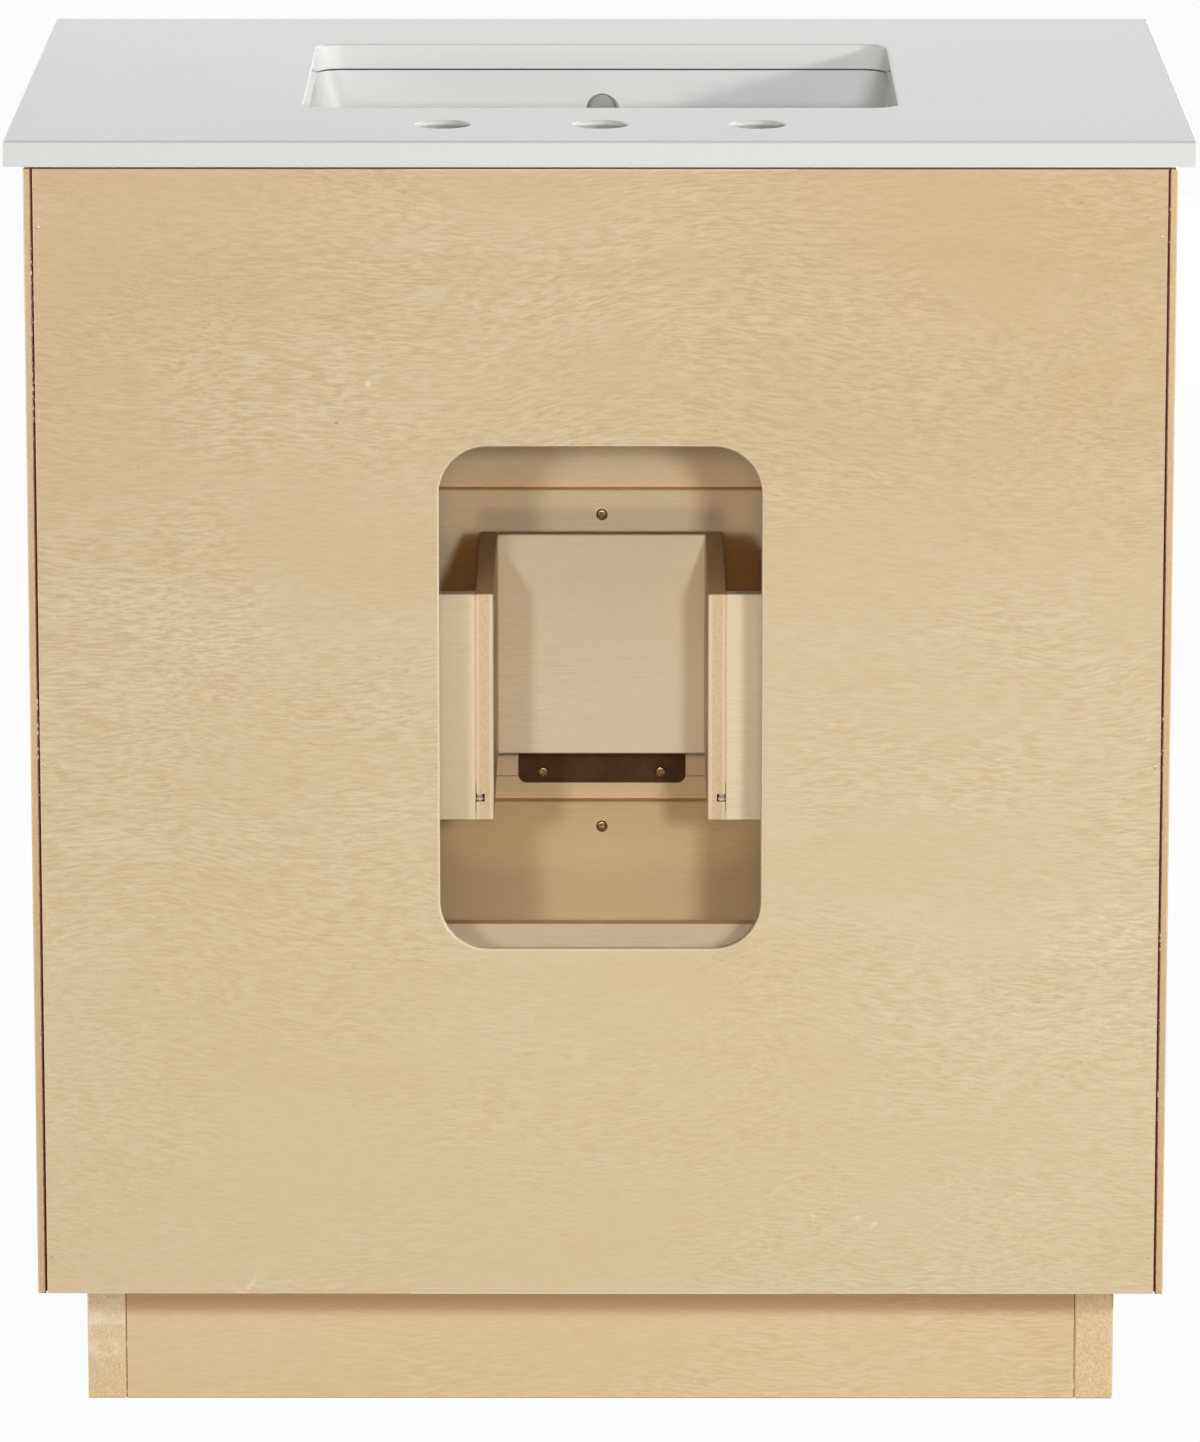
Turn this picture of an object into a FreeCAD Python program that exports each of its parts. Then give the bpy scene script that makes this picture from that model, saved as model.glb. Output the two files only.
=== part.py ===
import FreeCAD, Part
import math
import os

# Bathroom vanity unit: stone top with undermount basin on a wooden cabinet with two drawers.
# Millimetres. +X is the right-hand side seen from the front, +Y points at the wall, +Z is up.
# The origin lies on the floor, under the middle of the countertop.

# Countertop
top_width = 762.0
top_depth = 559.0
top_thickness = 17.0
top_arris = 1.5
tap_hole_diameter = 35.0
tap_hole_pitch = 101.6
tap_hole_setback = 70.0
hole_arris = 1.0
cut_width = 389.0
cut_rear_margin = 142.0
cut_front_margin = 124.0
cut_radius = 18.0

# Sealant bead between the countertop and the cabinet
bed_height = 1.5
bead_width = 8.0
bead_inset = 5.0

# Basin
basin_reveal = 2.0
basin_wall = 10.0
basin_floor = 14.0
bowl_depth = 140.0
bowl_taper = 20.0
bowl_fillet = 28.0
bowl_floor_radius = 46.0
flange_width = 28.0
flange_thickness = 14.0
drain_diameter = 45.0
drain_seat_diameter = 64.0
drain_seat_depth = 2.5
drain_boss_wall = 14.0
drain_boss_height = 28.0
dish_diameter = 190.0
dish_depth = 4.0
overflow_diameter = 21.0
overflow_drop = 45.0
overflow_bevel = 2.0
duct_width = 24.0
duct_depth = 10.0
duct_wall = 7.0
duct_rounding = 4.0

# Seal and clips between the basin and the countertop
seal_height = 1.5
seal_width = 14.0
seal_inset = 4.0
clip_width = 22.0
clip_gauge = 2.0
clip_grip = 9.0
clip_reach = 18.0
clip_spread = 78.0
stud_diameter = 6.0
stud_embed = 9.0
stud_tail = 3.0
nut_flats = 10.0
nut_height = 5.0

# Carcass
side_overhang = 12.5
front_overhang = 19.0
carcass_height = 744.5
board = 18.0
board_ease = 0.8
back_thickness = 6.0
back_inset = 0.4
back_gap = 1.0
back_lip = 5.2
cutout_width = 208.0
cutout_height = 332.0
cutout_sill = 232.6
cutout_radius = 31.0
cutout_arris = 0.8
rear_rail_height = 100.0
front_rail_height = 80.0
middle_rail_height = 60.0
middle_rail_lift = 4.0
corner_block_leg = 60.0
dowel_diameter = 8.0
dowel_bite = 10.0
dowel_reach = 22.0
dowel_pitch = 36.0
bottom_dowel_pitch = 140.0

# Plinth
plinth_height = 75.0
plinth_side_setback = 31.5
plinth_rear_setback = 12.0
toe_recess = 60.0
plinth_side_board = 25.0
plinth_cross_board = 18.0
plinth_block_leg = 36.0
plinth_block_height = 60.0

# Fronts
face_reveal = 1.5
face_thickness = 19.0
frame_width = 16.0
panel_thickness = 12.0
bumper_height = 2.0
bumper_diameter = 8.0
bumper_inset = 30.0

# Edge pulls
pull_gauge = 2.0
pull_clearance = 1.0
pull_width = 118.0
pull_plate_height = 20.0
pull_corner = 6.0
pull_reach = 18.0
pull_lip = 11.0
pull_lip_corner = 4.0
pull_bend = 1.5
pull_screw_pitch = 83.0
pull_screw_drop = 12.0

# Drawer boxes
drawer_board = 12.0
drawer_ease = 0.7
drawer_length = 375.0
drawer_side_gap = 9.0
drawer_bottom = 5.0
bottom_recess = 12.7
groove_depth = 6.0
groove_clearance = 0.3
upper_headroom = 55.5
lower_headroom = 31.5
notch_width = 142.0
notch_depth = 202.0
runner_notch_width = 36.0

# Screws
screw_diameter = 4.0
screw_head_diameter = 8.0
screw_head_height = 2.6
screw_crown_diameter = 5.8
screw_bite = 8.0
screw_clearance = 0.1
face_screw_spread = 250.0
face_screw_drop = 17.5
face_screw_rise = 40.0

# Undermount runners
runner_gauge = 1.5
runner_floor_gap = 4.5
rail_drop = 14.0
rail_flange_rise = 16.0
rail_lip_height = 9.0
rail_setback = 4.0
slide_width = 22.0
slide_leg = 14.0
slide_side_gap = 1.0
running_gap = 0.3
carriage_gap = 1.5
carriage_end_gap = 5.5
glide_height = 2.0
glide_length = 24.0
glide_plug = 4.0
glide_end_inset = 12.0
glide_peg_diameter = 4.0
hook_rise = 16.0
hook_pin_diameter = 5.0
hook_pin_drop = 5.0
hook_pin_length = 8.0
coupler_width = 30.0
coupler_length = 42.0
coupler_height = 10.0
runner_screw_diameter = 5.0
runner_screw_bite = 10.0
runner_screw_inset = 45.0
runner_screw_drop = 8.0

# How far a cutting or joining shape reaches past a face
overrun = 1.0

# Levels and planes worked out from the sizes above
wall = top_depth / 2
carcass_width = top_width - 2 * side_overhang
unit_depth = top_depth - front_overhang
plinth_width = carcass_width - 2 * plinth_side_setback
face_width = carcass_width - 2 * face_reveal
carcass_top = plinth_height + carcass_height
top_under = carcass_top + bed_height
unit_top = top_under + top_thickness
half_carcass = carcass_width / 2
inside = half_carcass - board
face_back = unit_depth - face_thickness
carcass_depth = face_back - bumper_height
face_gap = pull_gauge + pull_clearance
face_height = (carcass_height - 3 * face_gap) / 3
back_depth = back_thickness + back_inset
half_back = half_carcass - back_lip - back_gap

cut_depth = top_depth - cut_rear_margin - cut_front_margin
basin_y = wall - cut_rear_margin - cut_depth / 2
rim = top_under - seal_height
bowl_floor = rim - bowl_depth
basin_under = bowl_floor - basin_floor
half_mouth_x = cut_width / 2 + basin_reveal
half_mouth_y = cut_depth / 2 + basin_reveal
flange_under = rim - flange_thickness

box_half = inside - drawer_side_gap
box_inner = box_half - drawer_board
box_rear = face_back - drawer_length
box_front_inner = face_back - drawer_board
box_rise = board + runner_floor_gap + rail_drop
half_notch = notch_width / 2
notch_front = box_rear + notch_depth
panel_reach = groove_depth - groove_clearance


def face_bottom(level):
    return plinth_height + level * (face_height + face_gap)


def vec(x, y, z):
    return FreeCAD.Vector(x, y, z)


# Span along Y between two distances from the wall plane
def deep(near, far):
    return (wall - far, wall - near)


def both(half):
    return (-half, half)


def block(x, y, z):
    return Part.makeBox(x[1] - x[0], y[1] - y[0], z[1] - z[0], vec(x[0], y[0], z[0]))


# Sawn board with all edges lightly broken
def plank(x, y, z, ease=board_ease):
    solid = block(x, y, z)
    return solid.makeChamfer(ease, solid.Edges)


def cylinder(diameter, height, base, axis):
    return Part.makeCylinder(diameter / 2, height, base, axis)


def mirrored(solid):
    return solid.mirror(vec(0, 0, 0), vec(1, 0, 0))


def pair(solid):
    return [solid, mirrored(solid)]


def cut_all(solid, tools):
    return solid.cut(Part.makeCompound(tools)) if tools else solid


def edges_along(solid, axis):
    straight = [e for e in solid.Edges if isinstance(e.Curve, Part.Line)]
    return [e for e in straight if abs(e.tangentAt(e.FirstParameter).dot(axis)) > 0.999]


# Block with the edges along one axis rounded
def rounded_block(x, y, z, radius, axis):
    solid = block(x, y, z)
    return solid.makeFillet(radius, edges_along(solid, axis))


# Closed outline of a rectangle with round corners at one level
def rounded_wire(x, y, z, radius):
    centres = [(x[1] - radius, y[1] - radius), (x[0] + radius, y[1] - radius),
               (x[0] + radius, y[0] + radius), (x[1] - radius, y[0] + radius)]
    edges = []
    arcs = []
    for quarter, (cx, cy) in enumerate(centres):
        turn = 90 * quarter
        arcs.append(Part.makeCircle(radius, vec(cx, cy, z), vec(0, 0, 1), turn, turn + 90))
    for arc, following in zip(arcs, arcs[1:] + arcs[:1]):
        edges.append(arc)
        start = arc.valueAt(arc.LastParameter)
        end = following.valueAt(following.FirstParameter)
        edges.append(Part.makeLine(start, end))
    return Part.Wire(edges)


def grown(span, amount):
    return (span[0] - amount, span[1] + amount)


# Solid between a rounded rectangle and a larger or smaller one above it
def tapered(x, y, z, radius, grow, top_radius):
    low = rounded_wire(x, y, z[0], radius)
    high = rounded_wire(grown(x, grow), grown(y, grow), z[1], top_radius)
    return Part.makeLoft([low, high], True, True)


# Bar with a constant section in XZ
def extruded(points, y):
    corners = [vec(x, y[0], z) for x, z in points]
    face = Part.Face(Part.makePolygon(corners + corners[:1]))
    return face.extrude(vec(0, y[1] - y[0], 0))


def save(node, solids):
    shape = solids[0] if len(solids) == 1 else Part.makeCompound(solids)
    shape.exportStep("parts/" + node + ".step")


# Pan-head screw whose head rests on the seat point, with its shank along the axis
def screw(seat, axis, length, diameter=screw_diameter):
    outward = axis * -1
    shank = cylinder(diameter, length, seat, axis)
    rim_height = screw_head_height / 2
    head = cylinder(screw_head_diameter, rim_height, seat, outward)
    crown_base = seat + outward * rim_height
    crown_height = screw_head_height - rim_height
    head_radius = screw_head_diameter / 2
    crown_radius = screw_crown_diameter / 2
    crown = Part.makeCone(head_radius, crown_radius, crown_height, crown_base, outward)
    return shank.fuse([head, crown]).removeSplitter()


def screw_hole(seat, axis, length, diameter=screw_diameter):
    return cylinder(diameter + 2 * screw_clearance, length + screw_clearance, seat, axis)


# Countertop and basin

def cut_spans(grow=0.0):
    x = both(cut_width / 2 + grow)
    y = (basin_y - cut_depth / 2 - grow, basin_y + cut_depth / 2 + grow)
    return x, y


def tap_holes():
    y = wall - tap_hole_setback
    tools = []
    for step in (-1, 0, 1):
        x = step * tap_hole_pitch
        radius = tap_hole_diameter / 2
        tools.append(Part.makeCylinder(radius, top_thickness, vec(x, y, top_under)))
        tools.append(Part.makeCone(radius, radius + hole_arris, hole_arris, vec(x, y, unit_top - hole_arris)))
    return tools


def stud_places():
    x = half_mouth_x + flange_width + clip_reach / 2
    return [(side * x, basin_y + row * clip_spread) for side in (-1, 1) for row in (-1, 1)]


def stud_bore(x, y, z, height):
    return Part.makeCylinder(stud_diameter / 2 + screw_clearance, height, vec(x, y, z))


def stud_sockets():
    return [stud_bore(x, y, top_under, stud_embed) for x, y in stud_places()]


def countertop():
    slab = block(both(top_width / 2), both(wall), (top_under, unit_top))
    upper = [e for e in slab.Edges if e.BoundBox.ZMax > unit_top - top_arris]
    slab = slab.makeChamfer(top_arris, upper)
    x, y = cut_spans()
    mouth = rounded_block(x, y, (top_under, unit_top), cut_radius, vec(0, 0, 1))
    flare = tapered(x, y, (unit_top - hole_arris, unit_top), cut_radius, hole_arris, cut_radius + hole_arris)
    return cut_all(slab, [mouth, flare] + tap_holes() + stud_sockets())


def countertop_sealant():
    z = (carcass_top, top_under)
    side_x = (half_carcass - bead_inset - bead_width, half_carcass - bead_inset)
    side = block(side_x, deep(back_depth + bead_inset, carcass_depth - bead_inset), z)
    cross_x = both(inside - bead_inset)
    rear = block(cross_x, deep(back_depth + bead_inset, back_depth + bead_inset + bead_width), z)
    front = block(cross_x, deep(face_back - bead_inset - bead_width, face_back - bead_inset), z)
    return pair(side) + [rear, front]


def mouth_spans(grow=0.0):
    return both(half_mouth_x + grow), (basin_y - half_mouth_y - grow, basin_y + half_mouth_y + grow)


# Drafted bowl with a rounded foot, from its floor up to the rim
def bowl(floor, offset):
    x, y = mouth_spans(offset - bowl_taper)
    floor_radius = bowl_floor_radius + offset
    rim_radius = cut_radius + basin_reveal + offset
    shape = tapered(x, y, (floor, rim), floor_radius, bowl_taper, rim_radius)
    foot = [e for e in shape.Edges if e.BoundBox.ZMax < floor + overrun]
    return shape.makeFillet(bowl_fillet + offset, foot)


# Hole through the sloping front wall into the duct, with a bevelled brim
def overflow_tools():
    z = unit_top - overflow_drop
    radius = overflow_diameter / 2
    forward = vec(0, -1, 0)
    wall_y = basin_y - half_mouth_y + bowl_taper * (rim - z) / bowl_depth
    start = wall_y + basin_wall
    hole = cylinder(overflow_diameter, start - duct_front() + duct_depth, vec(0, start, z), forward)
    bevel_start = vec(0, wall_y + overflow_bevel, z)
    bevel = Part.makeCone(radius + 2 * overflow_bevel, radius, 2 * overflow_bevel, bevel_start, forward)
    return [hole, bevel]


# Y of the outer side of the bowl's front wall, where the overflow duct begins
def duct_front():
    return basin_y - half_mouth_y - basin_wall


def duct_body():
    x = both(duct_width / 2 + duct_wall)
    outer = duct_front() - duct_depth - duct_wall
    bottom = basin_under - duct_depth - duct_wall
    upright = block(x, (outer, basin_y - half_mouth_y + bowl_taper), (bottom, flange_under + overrun))
    run = block(x, (outer, basin_y), (bottom, basin_under + overrun))
    body = upright.fuse(run).removeSplitter()
    outside = [e for e in edges_along(body, vec(0, 0, 1)) if e.BoundBox.YMax < outer + overrun]
    return body.makeFillet(duct_rounding, outside)


def duct_channel():
    x = both(duct_width / 2)
    front = duct_front()
    top = unit_top - overflow_drop + overflow_diameter / 2
    bottom = basin_under - duct_depth
    upright = block(x, (front - duct_depth, front), (bottom, top))
    run = block(x, (front - duct_depth, basin_y), (bottom, basin_under))
    return upright.fuse(run)


def basin():
    x, y = mouth_spans(flange_width)
    flange = rounded_block(x, y, (flange_under, rim), cut_radius + flange_width, vec(0, 0, 1))
    boss_foot = vec(0, basin_y, basin_under - drain_boss_height)
    boss_radius = drain_diameter / 2 + drain_boss_wall
    boss = Part.makeCylinder(boss_radius, drain_boss_height + basin_floor / 2, boss_foot)
    outer = bowl(basin_under, basin_wall).fuse([flange, boss, duct_body()])
    seat_z = bowl_floor - dish_depth
    seat_radius = drain_seat_diameter / 2
    dish = Part.makeCone(seat_radius, dish_diameter / 2, dish_depth, vec(0, basin_y, seat_z))
    seat = Part.makeCylinder(seat_radius, drain_seat_depth, vec(0, basin_y, seat_z - drain_seat_depth))
    drain = Part.makeCylinder(drain_diameter / 2, bowl_depth, boss_foot)
    hollows = [bowl(bowl_floor, 0.0), dish, seat, drain, duct_channel()]
    return cut_all(outer, hollows + overflow_tools()).removeSplitter()


def basin_seal():
    inner = seal_inset - basin_reveal
    ring = []
    for grow in (inner + seal_width, inner):
        x, y = mouth_spans(grow)
        ring.append(rounded_block(x, y, (rim, top_under), cut_radius + grow, vec(0, 0, 1)))
    return ring[0].cut(ring[1])


# Strap under the flange with a heel against the slab, held by a stud between the two
def basin_clips():
    edge = half_mouth_x + flange_width
    heel = edge + clip_reach
    low = flange_under - clip_gauge
    section = [(edge - clip_grip, low), (heel, low), (heel, top_under), (heel - clip_gauge, top_under),
               (heel - clip_gauge, flange_under), (edge - clip_grip, flange_under)]
    clips = []
    for row in (-1, 1):
        y = basin_y + row * clip_spread
        strap = extruded(section, (y - clip_width / 2, y + clip_width / 2))
        hole = stud_bore(edge + clip_reach / 2, y, low, clip_gauge)
        clips += pair(strap.cut(hole))
    return clips


def basin_studs():
    foot = flange_under - clip_gauge - nut_height - stud_tail
    length = top_under + stud_embed - foot
    return [Part.makeCylinder(stud_diameter / 2, length, vec(x, y, foot)) for x, y in stud_places()]


def basin_nuts():
    z = flange_under - clip_gauge - nut_height
    corner_turns = [math.radians(60 * step) for step in range(6)]
    corner_radius = nut_flats / 3 ** 0.5
    nuts = []
    for x, y in stud_places():
        corners = [vec(x + corner_radius * math.cos(turn), y + corner_radius * math.sin(turn), z)
                   for turn in corner_turns]
        hexagon = Part.Face(Part.makePolygon(corners + corners[:1])).extrude(vec(0, 0, nut_height))
        nuts.append(hexagon.cut(stud_bore(x, y, z, nut_height)))
    return nuts


# Carcass

# Dowel centres on the joint plane: (distance from the wall, height)
def dowel_places():
    rails = [(back_depth + board / 2, carcass_top - rear_rail_height / 2),
             (face_back - board / 2, carcass_top - front_rail_height / 2),
             (face_back - board / 2, middle_rail_bottom() + middle_rail_height / 2)]
    places = [(near, z + row * dowel_pitch / 2) for near, z in rails for row in (-1, 1)]
    middle = (back_depth + carcass_depth) / 2
    return places + [(middle + row * bottom_dowel_pitch, plinth_height + board / 2) for row in (-1, 0, 1)]


def dowel(near, z, radius_gap=0.0, length_gap=0.0):
    start = vec(inside - dowel_reach - length_gap, wall - near, z)
    length = dowel_reach + dowel_bite + 2 * length_gap
    return cylinder(dowel_diameter + 2 * radius_gap, length, start, vec(1, 0, 0))


def dowel_holes():
    drilled = [dowel(near, z, screw_clearance, screw_clearance) for near, z in dowel_places()]
    return drilled + [mirrored(hole) for hole in drilled]


def middle_rail_bottom():
    return face_bottom(2) + middle_rail_lift


def runner_screw_places(z_box):
    rail = rail_span()
    ys = (rail[0] + runner_screw_inset, (rail[0] + rail[1]) / 2, rail[1] - runner_screw_inset)
    return [(y, z_box + rail_flange_rise - runner_screw_drop) for y in ys]


def runner_screw_seats():
    places = runner_screw_places(box_bottom(0)) + runner_screw_places(box_bottom(1))
    return [vec(inside - runner_gauge, y, z) for y, z in places]


def runner_screws():
    length = runner_gauge + runner_screw_bite
    right = [screw(seat, vec(1, 0, 0), length, runner_screw_diameter) for seat in runner_screw_seats()]
    return right + [mirrored(piece) for piece in right]


def runner_screw_holes():
    length = runner_gauge + runner_screw_bite
    return [screw_hole(seat, vec(1, 0, 0), length, runner_screw_diameter) for seat in runner_screw_seats()]


def side_panel():
    z = (plinth_height, carcass_top)
    panel = plank((inside, half_carcass), deep(0, carcass_depth), z)
    rabbet = block((inside, half_carcass - back_lip), deep(0, back_depth), z)
    return cut_all(panel, [rabbet] + dowel_holes() + runner_screw_holes())


def back_panel():
    z = (plinth_height, carcass_top)
    y = deep(back_inset, back_depth)
    sill = plinth_height + cutout_sill
    hole_z = (sill, sill + cutout_height)
    hole = rounded_block(both(cutout_width / 2), y, hole_z, cutout_radius, vec(0, 1, 0))
    panel = block(both(half_back), y, z).cut(hole)
    rear_edges = [e for e in panel.Edges if e.BoundBox.YMin > y[1] - cutout_arris]
    reach = cutout_width / 2 + overrun
    brim = [e for e in rear_edges if max(-e.BoundBox.XMin, e.BoundBox.XMax) < reach]
    return panel.makeChamfer(cutout_arris, brim)


def bottom_panel():
    panel = plank(both(inside), deep(back_depth, carcass_depth), (plinth_height, plinth_height + board))
    return cut_all(panel, dowel_holes())


def rear_rail():
    z = (carcass_top - rear_rail_height, carcass_top)
    rail = plank(both(inside), deep(back_depth, back_depth + board), z)
    return cut_all(rail, dowel_holes())


def front_rail():
    z = (carcass_top - front_rail_height, carcass_top)
    rail = plank(both(inside), deep(face_back - board, face_back), z)
    return cut_all(rail, dowel_holes() + false_front_holes())


def middle_rail():
    low = middle_rail_bottom()
    rail = plank(both(inside), deep(face_back - board, face_back), (low, low + middle_rail_height))
    return cut_all(rail, dowel_holes() + false_front_holes())


# Triangular block in the corner between a cross board and a side, towards the front or the wall
def gusset(x, y, into, leg, z):
    corners = [vec(x, y, z[0]), vec(x - leg, y, z[0]), vec(x, y + into * leg, z[0])]
    face = Part.Face(Part.makePolygon(corners + corners[:1]))
    return face.extrude(vec(0, 0, z[1] - z[0]))


# They tie the rails to the sides under the countertop
def corner_blocks():
    z = (carcass_top - board, carcass_top)
    rear = gusset(inside, wall - back_depth - board, -1, corner_block_leg, z)
    front = gusset(inside, wall - face_back + board, 1, corner_block_leg, z)
    return pair(rear) + pair(front)


def carcass_dowels():
    right = [dowel(near, z) for near, z in dowel_places()]
    return right + [mirrored(peg) for peg in right]


def drawer_bumpers():
    x = half_carcass - board / 2
    discs = []
    for level in (0, 1):
        low = face_bottom(level)
        for z in (low + bumper_inset, low + face_height - bumper_inset):
            disc = cylinder(bumper_diameter, bumper_height, vec(x, wall - carcass_depth, z), vec(0, -1, 0))
            discs += pair(disc)
    return discs


# Plinth

def plinth_side():
    x = (plinth_width / 2 - plinth_side_board, plinth_width / 2)
    return plank(x, deep(plinth_rear_setback, unit_depth - toe_recess), (0, plinth_height))


def plinth_cross(near):
    half = plinth_width / 2 - plinth_side_board
    return plank(both(half), deep(near, near + plinth_cross_board), (0, plinth_height))


def plinth_front_near():
    return unit_depth - toe_recess - plinth_cross_board


def plinth_blocks():
    x = plinth_width / 2 - plinth_side_board
    z = (plinth_height - plinth_block_height, plinth_height)
    rear = gusset(x, wall - plinth_rear_setback - plinth_cross_board, -1, plinth_block_leg, z)
    front = gusset(x, wall - plinth_front_near(), 1, plinth_block_leg, z)
    return pair(rear) + pair(front)


# Fronts: thin centre panel in a slim frame, flush at the rear

def front_panel(level, holes):
    low = face_bottom(level)
    z = (low + frame_width, low + face_height - frame_width)
    panel = block(both(face_width / 2 - frame_width), deep(face_back, face_back + panel_thickness), z)
    return cut_all(panel, holes)


def front_frame(level, holes):
    low = face_bottom(level)
    high = low + face_height
    y = deep(face_back, unit_depth)
    half = face_width / 2
    stile = plank((half - frame_width, half), y, (low, high))
    strips = pair(stile)
    for z in ((low, low + frame_width), (high - frame_width, high)):
        strips.append(plank(both(half - frame_width), y, z))
    return [cut_all(strip, holes) for strip in strips]


def false_front_seats():
    heights = (carcass_top - front_rail_height / 2, middle_rail_bottom() + middle_rail_height / 2)
    y = wall - face_back + board
    return [vec(side * face_screw_spread, y, z) for side in (-1, 1) for z in heights]


def false_front_screws():
    return [screw(seat, vec(0, -1, 0), board + screw_bite) for seat in false_front_seats()]


def false_front_holes():
    return [screw_hole(seat, vec(0, -1, 0), board + screw_bite) for seat in false_front_seats()]


def face_screw_seats(level):
    y = wall - box_front_inner
    top = box_top(level) - face_screw_drop
    low = box_bottom(level) + face_screw_rise
    upper_row = [vec(step * face_screw_spread, y, top) for step in (-1, 0, 1)]
    return upper_row + [vec(side * face_screw_spread, y, low) for side in (-1, 1)]


def face_screws(level):
    return [screw(seat, vec(0, -1, 0), drawer_board + screw_bite) for seat in face_screw_seats(level)]


def face_holes(level):
    return [screw_hole(seat, vec(0, -1, 0), drawer_board + screw_bite) for seat in face_screw_seats(level)]


# Edge pulls: one bent sheet screwed to the rear of a front, over its top edge and down before it

def pull_screw_seats(level):
    z = face_bottom(level) + face_height - pull_screw_drop
    y = wall - face_back + pull_gauge
    return [vec(side * pull_screw_pitch / 2, y, z) for side in (-1, 1)]


def pull_screws(level):
    return [screw(seat, vec(0, -1, 0), pull_gauge + screw_bite) for seat in pull_screw_seats(level)]


def pull_holes(level):
    return [screw_hole(seat, vec(0, -1, 0), pull_gauge + screw_bite) for seat in pull_screw_seats(level)]


def pull(level):
    edge = face_bottom(level) + face_height
    crown = edge + pull_gauge
    rear = deep(face_back - pull_gauge, face_back)
    front = deep(unit_depth + pull_reach - pull_gauge, unit_depth + pull_reach)
    half = pull_width / 2
    plate = block(both(half), rear, (edge - pull_plate_height, crown))
    foot = [e for e in edges_along(plate, vec(0, 1, 0)) if e.BoundBox.ZMax < edge]
    plate = plate.makeFillet(pull_corner, foot)
    web = block(both(half), (front[0], rear[1]), (edge, crown))
    lip = block(both(half), front, (crown - pull_lip, crown))
    tips = [e for e in edges_along(lip, vec(0, 1, 0)) if e.BoundBox.ZMax < edge]
    lip = lip.makeFillet(pull_lip_corner, tips)
    sheet = plate.fuse([web, lip]).removeSplitter()
    bends = [e for e in edges_along(sheet, vec(1, 0, 0)) if e.BoundBox.ZMin > crown - 0.1]
    sheet = sheet.makeFillet(pull_bend, bends)
    return cut_all(sheet, pull_holes(level))


# Drawer boxes

def box_bottom(level):
    return face_bottom(level) + box_rise


def box_top(level):
    headroom = (lower_headroom, upper_headroom)[level]
    return face_bottom(level) + face_height - headroom


def box_z(level):
    return (box_bottom(level), box_top(level))


def panel_under(level):
    return box_bottom(level) + bottom_recess


def groove_z(level):
    return (panel_under(level), panel_under(level) + drawer_bottom + groove_clearance)


def drawer_side(level):
    side = plank((box_inner, box_half), deep(box_rear, face_back), box_z(level), drawer_ease)
    groove = block((box_inner, box_inner + groove_depth), deep(box_rear, face_back), groove_z(level))
    return side.cut(groove)


def drawer_box_front(level):
    board_y = deep(box_front_inner, face_back)
    front = plank(both(box_inner), board_y, box_z(level), drawer_ease)
    groove = block(both(box_inner), deep(box_front_inner, box_front_inner + groove_depth), groove_z(level))
    return cut_all(front, [groove] + face_holes(level))


def hook_hole(level):
    start = vec(slide_middle(), wall - box_rear, hook_pin_height(level))
    return cylinder(hook_pin_diameter + 2 * groove_clearance, drawer_board, start, vec(0, -1, 0))


# Rear board of a drawer, notched below for the runners and bored for their hooks
def drawer_back(level, x):
    back = plank(x, deep(box_rear, box_rear + drawer_board), box_z(level), drawer_ease)
    groove_near = box_rear + drawer_board - groove_depth
    groove = block(x, deep(groove_near, box_rear + drawer_board), groove_z(level))
    gap = block((box_inner - runner_notch_width, box_inner), deep(box_rear, box_rear + drawer_board),
                (box_bottom(level), panel_under(level)))
    return cut_all(back, [groove] + pair(gap) + pair(hook_hole(level)))


def drawer_floor(level):
    half = box_inner + panel_reach
    rear = box_rear + drawer_board - panel_reach
    z = (panel_under(level), panel_under(level) + drawer_bottom)
    return block(both(half), deep(rear, box_front_inner + panel_reach), z)


def notched_floor(level):
    half = half_notch + drawer_board - panel_reach
    far = notch_front + drawer_board - panel_reach
    notch = block(both(half), deep(box_rear, far), grown(groove_z(level), overrun))
    return drawer_floor(level).cut(notch)


def notch_side(level):
    x = (half_notch, half_notch + drawer_board)
    y = deep(box_rear, notch_front + drawer_board)
    side = plank(x, y, box_z(level), drawer_ease)
    groove = block((x[1] - groove_depth, x[1]), y, groove_z(level))
    end_groove = block(x, notch_groove_y(), groove_z(level))
    return side.cut([groove, end_groove])


# Groove for the drawer bottom across the front of the notch
def notch_groove_y():
    front = notch_front + drawer_board
    return deep(front - groove_depth, front)


def notch_wall(level):
    x = both(half_notch)
    face = plank(x, deep(notch_front, notch_front + drawer_board), box_z(level), drawer_ease)
    return face.cut(block(x, notch_groove_y(), groove_z(level)))


# Undermount runners, right-hand side

def slide_spans():
    outer = box_inner - slide_side_gap
    return (outer - slide_width, outer)


def slide_middle():
    low, high = slide_spans()
    return (low + high) / 2


def rail_span():
    return deep(box_rear, carcass_depth - rail_setback)


# Section of a channel of even gauge, open below
def hat(x, z, gauge):
    return [(x[0], z[0]), (x[0], z[1]), (x[1], z[1]), (x[1], z[0]), (x[1] - gauge, z[0]),
            (x[1] - gauge, z[1] - gauge), (x[0] + gauge, z[1] - gauge), (x[0] + gauge, z[0])]


# Cabinet member: flange on the side panel, floor under the drawer side, lip beside the slide
def rail(level):
    low = box_bottom(level) - rail_drop
    top = box_bottom(level) + rail_flange_rise
    inner = slide_spans()[0] - slide_side_gap - runner_gauge
    lip = low + rail_lip_height
    section = [(inside, top), (inside, low), (inner, low), (inner, lip), (inner + runner_gauge, lip),
               (inner + runner_gauge, low + runner_gauge), (inside - runner_gauge, low + runner_gauge),
               (inside - runner_gauge, top)]
    return cut_all(extruded(section, rail_span()), runner_screw_holes())


def slide_under(level):
    return panel_under(level) - runner_gauge


def hook_pin_height(level):
    return panel_under(level) + hook_rise - hook_pin_drop


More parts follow.
